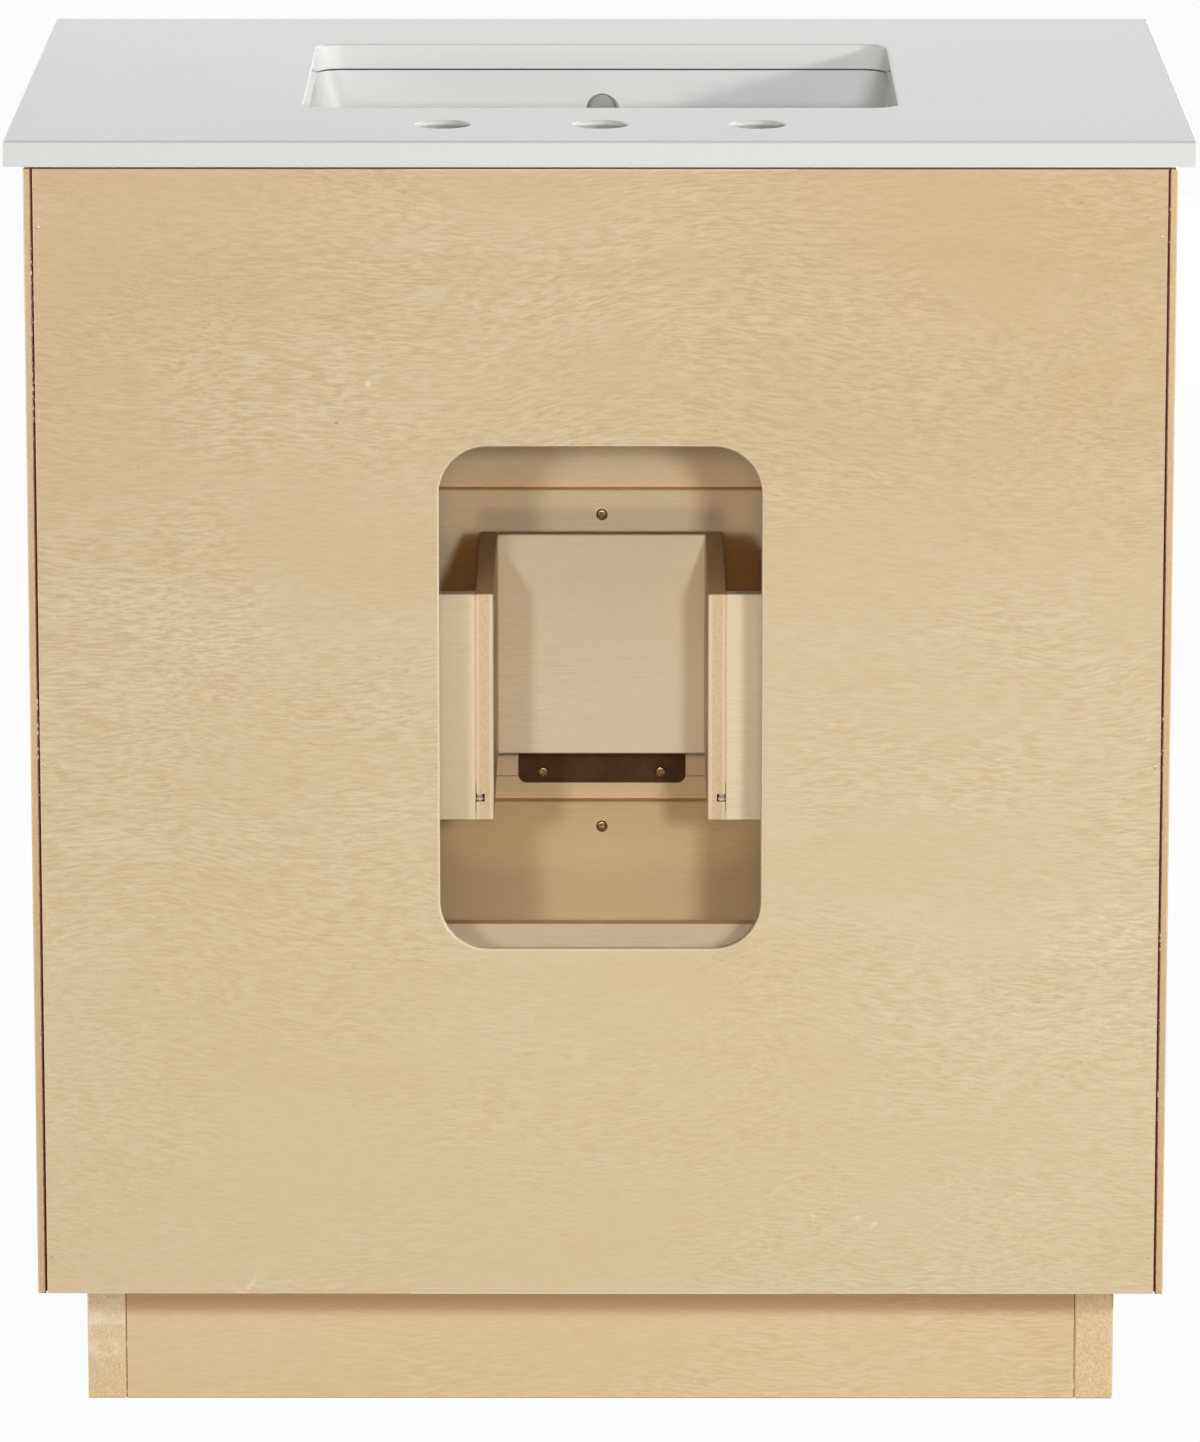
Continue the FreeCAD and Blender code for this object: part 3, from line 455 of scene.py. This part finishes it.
# stone: painted shade on its rear faces, on the rounded edges that face up and back, and deep in the tap
# holes
quartz = {
    "body": (0.655, 0.658, 0.656), "cloud": (0.643, 0.645, 0.643), "grit": (0.668, 0.671, 0.669),
    "cloudCells": (5.0, 5.0, 5.0), "cloudSpan": (0.25, 0.75),
    "gritCells": (700.0, 700.0, 700.0), "gritSpan": (0.52, 0.75), "gritAmount": 0.6,
    # painted shade: darker tones for the rear faces and for the rounded edges facing up and back
    "rearShade": (0.574, 0.577, 0.574), "edge": (0.430, 0.427, 0.420), "edgeSpan": (0.76, 0.90),
    # painted shade: a darker tone deep in the tap holes
    "drilled": (0.300, 0.285, 0.265), "drillRow": (0.188, 0.232), "drillDepth": (0.8342, 0.8362),
    "polishCells": (4.0, 4.0, 4.0), "polishSpan": (0.2, 0.8), "rough": 0.58, "roughSpread": 0.06,
    "gloss": 0.12, "opening": 0.290, "openingRough": 0.12, "openingGloss": 0.50,
    "bumpCells": (220.0, 220.0, 220.0), "bump": 0.02, "bumpDepth": 0.00002,
}
# glaze: painted light makes the floor of the bowl whiter than its walls
glaze = {
    "body": (0.526, 0.527, 0.512), "cloud": (0.515, 0.516, 0.501), "bowlFloorLight": (0.640, 0.635, 0.615),
    "cloudCells": (7.0, 7.0, 7.0), "cloudSpan": (0.35, 0.70), "bowlFloorLightSpan": (0.25, 0.95),
    "rippleCells": (24.0, 24.0, 24.0), "rippleSpan": (0.3, 0.7), "rough": 0.46, "roughSpread": 0.06,
    "gloss": 0.35, "bump": 0.05, "bumpDepth": 0.0004,
}


def quartzFinish():
    finish, tree, shader = startFinish("quartz")
    coords = objectCoords(tree)
    cloud = ramp(tree, noise(tree, coords, quartz["cloudCells"], rough=0.5), quartz["cloudSpan"])
    grit = ramp(tree, noise(tree, coords, quartz["gritCells"], detail=2.0, rough=0.6), quartz["gritSpan"])
    colour = tint(tree, cloud, quartz["body"], quartz["cloud"])
    colour = tint(tree, times(tree, grit, quartz["gritAmount"]), colour, quartz["grit"])
    # painted shade: faces towards the rear are darker
    colour = tint(tree, ramp(tree, facing(tree, alongY), facesRear), colour, quartz["rearShade"])
    # painted shade on the rounded edges that face up and back, dulling their highlight
    rearUp = (0.0, math.sqrt(0.5), math.sqrt(0.5))
    colour = tint(tree, ramp(tree, facing(tree, rearUp), quartz["edgeSpan"]), colour, quartz["edge"])
    middle = maths(tree, "LESS_THAN", outward(tree, coords), quartz["opening"])
    upright = maths(tree, "SUBTRACT", 1.0, across(tree, alongZ))
    # painted shade deep in the tap holes
    deep = ramp(tree, part(tree, coords, "Z"), quartz["drillDepth"], falling)
    deep = times(tree, deep, within(tree, part(tree, coords, "Y"), quartz["drillRow"]))
    deep = times(tree, deep, times(tree, middle, upright))
    plug(tree, shader.inputs["Base Color"], tint(tree, deep, colour, quartz["drilled"]))
    # the ends of the basin's opening are polished
    dullEnds = (quartz["rough"], quartz["rough"] + quartz["roughSpread"])
    dull = ramp(tree, noise(tree, coords, quartz["polishCells"], detail=2.0), quartz["polishSpan"], dullEnds)
    ends = times(tree, across(tree, alongX), middle)
    rest = maths(tree, "SUBTRACT", 1.0, ends)
    rough = maths(tree, "ADD", times(tree, dull, rest), times(tree, ends, quartz["openingRough"]))
    plug(tree, shader.inputs["Roughness"], rough)
    gloss = ramp(tree, ends, (0.0, 1.0), (quartz["gloss"], quartz["openingGloss"]))
    plug(tree, shader.inputs["Specular IOR Level"], gloss)
    grain = noise(tree, coords, quartz["bumpCells"], detail=1.0)
    emboss(tree, shader, grain, quartz["bump"], quartz["bumpDepth"])
    return finish


def glazeFinish():
    finish, tree, shader = startFinish("glaze")
    coords = objectCoords(tree)
    cloud = ramp(tree, noise(tree, coords, glaze["cloudCells"]), glaze["cloudSpan"])
    colour = tint(tree, cloud, glaze["body"], glaze["cloud"])
    # painted light: faces turned up are whiter
    level = ramp(tree, facing(tree, alongZ), glaze["bowlFloorLightSpan"])
    plug(tree, shader.inputs["Base Color"], tint(tree, level, colour, glaze["bowlFloorLight"]))
    ripple = noise(tree, coords, glaze["rippleCells"], detail=2.0)
    roughEnds = (glaze["rough"], glaze["rough"] + glaze["roughSpread"])
    plug(tree, shader.inputs["Roughness"], ramp(tree, ripple, glaze["rippleSpan"], roughEnds))
    shader.inputs["Specular IOR Level"].default_value = glaze["gloss"]
    emboss(tree, shader, ripple, glaze["bump"], glaze["bumpDepth"])
    return finish


dress(quartzFinish(), "countertop")
dress(glazeFinish(), "basin")
print("stone and glaze finishes done")


# metal, plastic and glue: body with patches of a second tone, cells per metre
silicone = {"body": (0.300, 0.220, 0.215), "patch": (0.380, 0.300, 0.300), "rough": 0.55, "cells": 60.0}
# painted shade: the basin's seal is nearly black, standing in for the shadow in the gap between slab and
# basin flange
rimSeal = {"body": (0.040, 0.040, 0.050), "patch": (0.075, 0.072, 0.080), "rough": 0.50, "cells": 60.0}
zinc = {"body": (0.600, 0.610, 0.620), "patch": (0.470, 0.480, 0.500), "rough": 0.32, "cells": 90.0,
        "metal": 1.0}
bronze = {"body": (0.088, 0.033, 0.011), "patch": (0.112, 0.047, 0.018), "rough": 0.52, "cells": 70.0,
          "metal": 0.15, "gloss": 0.2}
brass = {"body": (0.460, 0.270, 0.130), "patch": (0.170, 0.085, 0.040), "rough": 0.24, "cells": 420.0,
         "metal": 0.85}
nylon = {"body": (0.420, 0.420, 0.430), "patch": (0.500, 0.500, 0.505), "rough": 0.48, "cells": 80.0}
clearGel = {"body": (0.700, 0.700, 0.680), "patch": (0.600, 0.600, 0.585), "rough": 0.35, "cells": 200.0}
steelPin = {"body": (0.450, 0.400, 0.340), "patch": (0.330, 0.240, 0.160), "rough": 0.38, "cells": 300.0,
            "metal": 0.6}
woodGlue = {"body": (0.640, 0.615, 0.570), "patch": (0.520, 0.490, 0.440), "rough": 0.42, "cells": 400.0}
plainField = {"patchSpan": (0.35, 0.72), "grainCells": 14, "grainSpan": (0.3, 0.7), "roughSpread": 0.16,
              "bump": 0.20, "bumpDepth": 0.00008}


def plainFinish(name, look):
    finish, tree, shader = startFinish(name)
    coords = objectCoords(tree)
    cells = look["cells"]
    patch = noise(tree, coords, (cells,) * 3, detail=4.0, rough=0.6)
    patch = ramp(tree, patch, plainField["patchSpan"])
    grain = noise(tree, coords, (cells * plainField["grainCells"],) * 3, detail=2.0, rough=0.6)
    roughEnds = (look["rough"], look["rough"] + plainField["roughSpread"])
    plug(tree, shader.inputs["Base Color"], tint(tree, patch, look["body"], look["patch"]))
    plug(tree, shader.inputs["Roughness"], ramp(tree, grain, plainField["grainSpan"], roughEnds))
    shader.inputs["Metallic"].default_value = look.get("metal", 0.0)
    shader.inputs["Specular IOR Level"].default_value = look.get("gloss", 0.5)
    emboss(tree, shader, grain, plainField["bump"], plainField["bumpDepth"])
    return finish


dress(plainFinish("silicone", silicone), "countertop_sealant")
dress(plainFinish("rimSeal", rimSeal), "basin_seal")
dress(plainFinish("zinc", zinc), "basin_clips", "basin_studs", "basin_nuts", "runner_screws", "upper_rails",
      "lower_rails", "upper_carriages", "lower_carriages", "upper_slides", "lower_slides")
dress(plainFinish("bronze", bronze), "upper_drawer_pull", "lower_drawer_pull")
dress(plainFinish("nylon", nylon), "upper_glides", "lower_glides", "upper_couplers", "lower_couplers")
dress(plainFinish("clearGel", clearGel), "drawer_bumpers")
brassFinish = plainFinish("brass", brass)
pinFinish = plainFinish("steelPin", steelPin)
glueFinish = plainFinish("woodGlue", woodGlue)
print("metal, plastic and glue finishes done")


# modelling shorthand
hair = 0.0001
weld = 0.000002
most = 0.9  # of a height, past which a point counts as its end


def clear():
    bpy.ops.object.select_all(action="DESELECT")


def alone(piece):
    clear()
    piece.select_set(True)
    bpy.context.view_layer.objects.active = piece


def pick(piece, kind, test):
    bpy.ops.object.mode_set(mode="EDIT")
    bpy.ops.mesh.select_mode(type=kind)
    bpy.ops.mesh.select_all(action="DESELECT")
    bpy.ops.object.mode_set(mode="OBJECT")
    mesh = piece.data
    items = {"VERT": mesh.vertices, "EDGE": mesh.edges, "FACE": mesh.polygons}[kind]
    for item in items:
        if kind == "EDGE":
            item.select = all(test(mesh.vertices[i].co) for i in item.vertices)
        else:
            item.select = test(item.co if kind == "VERT" else item.center)
    bpy.ops.object.mode_set(mode="EDIT")


def endEdit():
    bpy.ops.mesh.select_all(action="SELECT")
    bpy.ops.mesh.remove_doubles(threshold=weld)
    bpy.ops.mesh.normals_make_consistent(inside=False)
    bpy.ops.object.mode_set(mode="OBJECT")


def settle(piece):
    alone(piece)
    bpy.ops.object.transform_apply(location=True, rotation=True, scale=True)


def apply(piece, kind, **settings):
    alone(piece)
    change = piece.modifiers.new(kind.lower(), kind)
    for key, value in settings.items():
        setattr(change, key, value)
    bpy.ops.object.modifier_apply(modifier=change.name)


def roundEdges(size, segments):
    bpy.ops.mesh.bevel(offset=size, offset_type="OFFSET", segments=segments, profile=0.5, affect="EDGES")


def narrow(share):
    bpy.ops.transform.resize(value=(share, share, 1.0), center_override=origin)


def deepen(length):
    bpy.ops.mesh.extrude_region_move(TRANSFORM_OT_translate={"value": (0.0, 0.0, -length)})


def joined(pieces):
    alone(pieces[0])
    for piece in pieces:
        piece.select_set(True)
    bpy.ops.object.join()
    return pieces[0]


# cross-recess wood screws, head towards the inside of the cabinet
screw = {
    "head": 0.0080, "rise": 0.0026, "headSides": 40, "dome": 0.0013, "domeSteps": 5,
    "seatEdge": 0.00025, "seatSteps": 2,
    "slot": 0.0048, "slotWidth": 0.0013, "slotDepth": 0.0019, "slotTaper": 0.55,
    "shank": 0.0039, "root": 0.0027, "pitch": 0.0018, "tip": 0.0040, "tipTaper": 0.12,
    "coreSides": 20, "turnSteps": 14, "firstAngle": 23, "angleStep": 37, "smooth": 32,
}
screwSets = {  # node: body, length under the head, screw in the middle, lower row
    "upper_drawer_face_screws": ("upper_drawer", 0.020, True, True),
    "lower_drawer_face_screws": ("lower_drawer", 0.020, True, True),
    "upper_drawer_pull_screws": ("upper_drawer", 0.010, False, False),
    "lower_drawer_pull_screws": ("lower_drawer", 0.010, False, False),
    "false_front_screws": ("cabinet", 0.026, False, True),
}


def recessCutter():
    # two crossed blades that narrow to the bottom of the recess
    blades = []
    for size in ((screw["slot"], screw["slotWidth"]), (screw["slotWidth"], screw["slot"])):
        clear()
        bpy.ops.mesh.primitive_cube_add(size=1.0, location=(0.0, 0.0, screw["rise"]))
        blade = bpy.context.object
        blade.scale = (size[0], size[1], 2 * screw["slotDepth"])
        settle(blade)
        pick(blade, "FACE", lambda spot: spot.z < screw["rise"] - most * screw["slotDepth"])
        narrow(screw["slotTaper"])
        endEdit()
        blades.append(blade)
    apply(blades[0], "BOOLEAN", operation="UNION", object=blades[1], solver="EXACT")
    bpy.data.objects.remove(blades[1])
    return blades[0]


def screwHead():
    clear()
    bpy.ops.mesh.primitive_cylinder_add(vertices=screw["headSides"], radius=screw["head"] / 2,
                                        depth=screw["rise"], location=(0.0, 0.0, screw["rise"] / 2))
    head = bpy.context.object
    settle(head)
    pick(head, "EDGE", lambda spot: spot.z > most * screw["rise"])
    roundEdges(screw["dome"], screw["domeSteps"])
    endEdit()
    pick(head, "EDGE", lambda spot: spot.z < hair)
    roundEdges(screw["seatEdge"], screw["seatSteps"])
    endEdit()
    cutter = recessCutter()
    apply(head, "BOOLEAN", operation="DIFFERENCE", object=cutter, solver="EXACT")
    bpy.data.objects.remove(cutter)
    return head


def screwCore(length):
    # plain core, drawn to a point
    end = screw["tip"] - length
    clear()
    bpy.ops.mesh.primitive_cylinder_add(vertices=screw["coreSides"], radius=screw["root"] / 2, depth=-end,
                                        location=(0.0, 0.0, end / 2))
    core = bpy.context.object
    settle(core)
    pick(core, "FACE", lambda spot: spot.z < end + hair)
    deepen(screw["tip"])
    narrow(screw["tipTaper"])
    endEdit()
    return core


def screwThread(length):
    # one three-cornered tooth, wound round the core
    out = (screw["shank"] - screw["root"]) / 3
    start = (screw["shank"] / 2 - 2 * out, 0.0, screw["tip"] - length)
    clear()
    bpy.ops.mesh.primitive_circle_add(vertices=3, radius=2 * out, location=start,
                                      rotation=(quarterTurn, quarterTurn, 0.0))
    thread = bpy.context.object
    settle(thread)
    turns = int((length - screw["tip"]) / screw["pitch"]) - 1
    apply(thread, "SCREW", axis="Z", angle=2 * math.pi, screw_offset=screw["pitch"], iterations=turns,
          steps=screw["turnSteps"], render_steps=screw["turnSteps"], use_merge_vertices=False)
    pick(thread, "VERT", lambda spot: True)
    bpy.ops.mesh.fill_holes(sides=4)
    endEdit()
    return thread


def makeScrew(length):
    whole = joined([screwHead(), screwCore(length), screwThread(length)])
    whole.rotation_euler = (-quarterTurn, 0.0, 0.0)
    settle(whole)
    bpy.ops.object.shade_smooth_by_angle(angle=math.radians(screw["smooth"]))
    whole.data.materials.append(brassFinish)
    return whole


def setScrews(node, body, length, middle, lower):
    low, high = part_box(node)
    rim = screw["head"] / 2
    seat = high[1] - screw["rise"]
    sides = (low[0] + rim, high[0] - rim)
    places = [(x, high[2] - rim) for x in sides]
    if middle:
        places.append((0.0, high[2] - rim))
    if lower:
        places.extend((x, low[2] + rim) for x in sides)
    master = makeScrew(length)
    copies = []
    for count, (x, z) in enumerate(places):
        alone(master)
        bpy.ops.object.duplicate()
        one = bpy.context.object
        angle = screw["firstAngle"] + screw["angleStep"] * count  # no two driven to the same angle
        one.rotation_euler = (0.0, math.radians(angle), 0.0)
        one.location = (x, seat, z)
        settle(one)
        copies.append(one)
    bpy.data.objects.remove(master)
    screws = joined(copies)
    screws.name = node.replace("screws", "crossheads")
    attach(screws, body)
    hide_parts(node)


for node, facts in screwSets.items():
    setScrews(node, *facts)
print("screws done")


# pins that hold the back panel in its rabbets
backPins = {
    "head": 0.0020, "rise": 0.0003, "headSides": 16, "headEdge": 0.00018, "edgeSteps": 2,
    "shank": 0.0011, "length": 0.0140, "point": 0.15, "pointTaper": 0.15, "smooth": 35, "rear": 0.2791,
    "places": [(0.3590, 0.782), (0.3590, 0.429), (0.3590, 0.100),
               (-0.3590, 0.776), (-0.3590, 0.429), (-0.3590, 0.100)],
}


def makePin(x, z):
    clear()
    bpy.ops.mesh.primitive_cylinder_add(vertices=backPins["headSides"], radius=backPins["head"] / 2,
                                        depth=backPins["rise"], location=(0.0, 0.0, backPins["rise"] / 2))
    pin = bpy.context.object
    settle(pin)
    pick(pin, "EDGE", lambda spot: spot.z > most * backPins["rise"])
    roundEdges(backPins["headEdge"], backPins["edgeSteps"])
    endEdit()
    pick(pin, "FACE", lambda spot: spot.z < 0.1 * hair)
    bpy.ops.mesh.inset(thickness=(backPins["head"] - backPins["shank"]) / 2)
    deepen((1 - backPins["point"]) * backPins["length"])
    deepen(backPins["point"] * backPins["length"])
    narrow(backPins["pointTaper"])
    endEdit()
    pin.rotation_euler = (-quarterTurn, 0.0, 0.0)
    pin.location = (x, backPins["rear"], z)
    settle(pin)
    bpy.ops.object.shade_smooth_by_angle(angle=math.radians(backPins["smooth"]))
    return pin


pins = joined([makePin(x, z) for x, z in backPins["places"]])
pins.name = "back_pins"
pins.data.materials.append(pinFinish)
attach(pins, "cabinet")
print("back pins done")


# glue squeezed out of the groove ends of the notched drawer
glueBead = {
    "across": 0.0803, "size": (0.0052, 0.0046, 0.0030), "rear": 0.1333, "segments": 18, "rings": 10,
    "lumps": 0.00022, "uniform": 0.2, "normal": 0.6, "seeds": (3, 7),
}


def makeBead(x, seed):
    wide, deep, high = glueBead["size"]
    lumps = glueBead["lumps"]
    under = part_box("upper_drawer_bottom")[0][2]
    clear()
    bpy.ops.mesh.primitive_uv_sphere_add(segments=glueBead["segments"], ring_count=glueBead["rings"],
                                         radius=0.5)
    bead = bpy.context.object
    bead.scale = (wide, deep, high)
    bead.location = (x, glueBead["rear"] - deep / 2 - lumps, under + high / 2 - lumps)
    settle(bead)
    pick(bead, "VERT", lambda spot: True)
    bpy.ops.transform.vertex_random(offset=lumps, uniform=glueBead["uniform"], normal=glueBead["normal"],
                                    seed=seed)
    endEdit()
    bpy.ops.object.shade_smooth()
    return bead


leftSeed, rightSeed = glueBead["seeds"]
beads = joined([makeBead(glueBead["across"], leftSeed), makeBead(-glueBead["across"], rightSeed)])
beads.name = "groove_glue"
beads.data.materials.append(glueFinish)
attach(beads, "upper_drawer")
print("glue beads done")


# floor, light and camera
stageLook = {"floor": (0.34, 0.34, 0.34), "floorSize": 60.0, "floorRough": 0.9, "floorGloss": 0.0,
             "glow": 0.96, "ambient": 0.05}
lamps = [  # name, place, aim, size, power, colour
    ("rearLeft", (0.72, 5.45, 1.65), (0.0, 0.20, 0.48), 0.24, 61.0, (0.87, 0.95, 1.0)),
    ("rearRight", (-0.47, 5.45, 1.65), (0.0, 0.20, 0.48), 0.20, 84.0, (0.87, 0.95, 1.0)),
    ("rearLow", (-0.012, 5.60, 1.02), (0.0, 0.20, 0.48), 0.30, 34.0, (1.0, 0.81, 0.54)),
    ("rearEye", (-0.012, 5.60, 1.68), (0.0, 0.20, 0.48), 0.20, 27.0, (1.0, 0.52, 0.22)),
    ("rearHigh", (0.00, 4.90, 3.55), (0.0, 0.28, 0.45), 2.20, 72.0, (0.92, 0.98, 1.0)),
    ("above", (0.30, -1.20, 3.20), (0.0, 0.0, 0.84), 1.20, 47.0, (1.0, 0.98, 0.95)),
    ("right", (-5.05, 1.75, 2.18), (0.0, 0.0, 0.70), 0.60, 254.0, (1.0, 1.0, 1.0)),
    ("left", (4.20, -0.60, 0.44), (0.0, 0.0, 0.45), 0.76, 110.0, (1.0, 1.0, 1.0)),
    ("face", (-1.20, -4.60, 0.46), (0.0, 0.0, 0.45), 0.72, 145.0, (1.0, 1.0, 1.0)),
]
view = {"place": (-0.0121, 5.9155, 1.706), "tilt": 12.471, "turn": 0.125, "lens": 268.0, "sensor": 36.0,
        "far": 100.0}


def backgroundRay(tree):
    path = tree.nodes.new("ShaderNodeLightPath")
    seen = maths(tree, "MAXIMUM", path.outputs["Is Camera Ray"], path.outputs["Is Glossy Ray"])
    return maths(tree, "MAXIMUM", seen, path.outputs["Is Transmission Ray"])


def floorPlane():
    clear()
    bpy.ops.mesh.primitive_plane_add(size=stageLook["floorSize"], location=origin)
    floor = bpy.context.object
    floor.name = "floor"
    finish, tree, shader = startFinish("paleFloor")
    plug(tree, shader.inputs["Base Color"], stageLook["floor"])
    shader.inputs["Roughness"].default_value = stageLook["floorRough"]
    shader.inputs["Specular IOR Level"].default_value = stageLook["floorGloss"]
    white = tree.nodes.new("ShaderNodeEmission")
    mix = tree.nodes.new("ShaderNodeMixShader")
    plug(tree, mix.inputs["Fac"], times(tree, backgroundRay(tree), stageLook["glow"]))
    plug(tree, mix.inputs[1], shader.outputs["BSDF"])
    plug(tree, mix.inputs[2], white.outputs["Emission"])
    plug(tree, tree.nodes["Material Output"].inputs["Surface"], mix.outputs["Shader"])
    floor.data.materials.append(finish)


def skyLight():
    world = bpy.data.worlds.new("paleSky")
    scene.world = world
    world.use_nodes = True
    tree = world.node_tree
    background = tree.nodes["Background"]
    plug(tree, background.inputs["Color"], (1.0, 1.0, 1.0))
    strength = ramp(tree, backgroundRay(tree), (0.0, 1.0), (stageLook["ambient"], 1.0))
    plug(tree, background.inputs["Strength"], strength)


def lamp(name, place, aim, size, power, colour):
    bpy.ops.object.light_add(type="AREA", location=place)
    light = bpy.context.object
    light.name = name
    light.data.shape = "DISK"
    light.data.size = size
    light.data.energy = power
    light.data.color = colour
    light.rotation_euler = (Vector(aim) - Vector(place)).to_track_quat("-Z", "Y").to_euler()


def camera():
    bpy.ops.object.camera_add(location=view["place"])
    eye = bpy.context.object
    eye.rotation_euler = (math.radians(90 - view["tilt"]), 0.0, math.radians(180 + view["turn"]))
    eye.data.sensor_fit = "HORIZONTAL"
    eye.data.sensor_width = view["sensor"]
    eye.data.lens = view["lens"]
    eye.data.clip_end = view["far"]
    scene.camera = eye


floorPlane()
skyLight()
for each in lamps:
    lamp(*each)
camera()
print("stage, lamps and camera done")
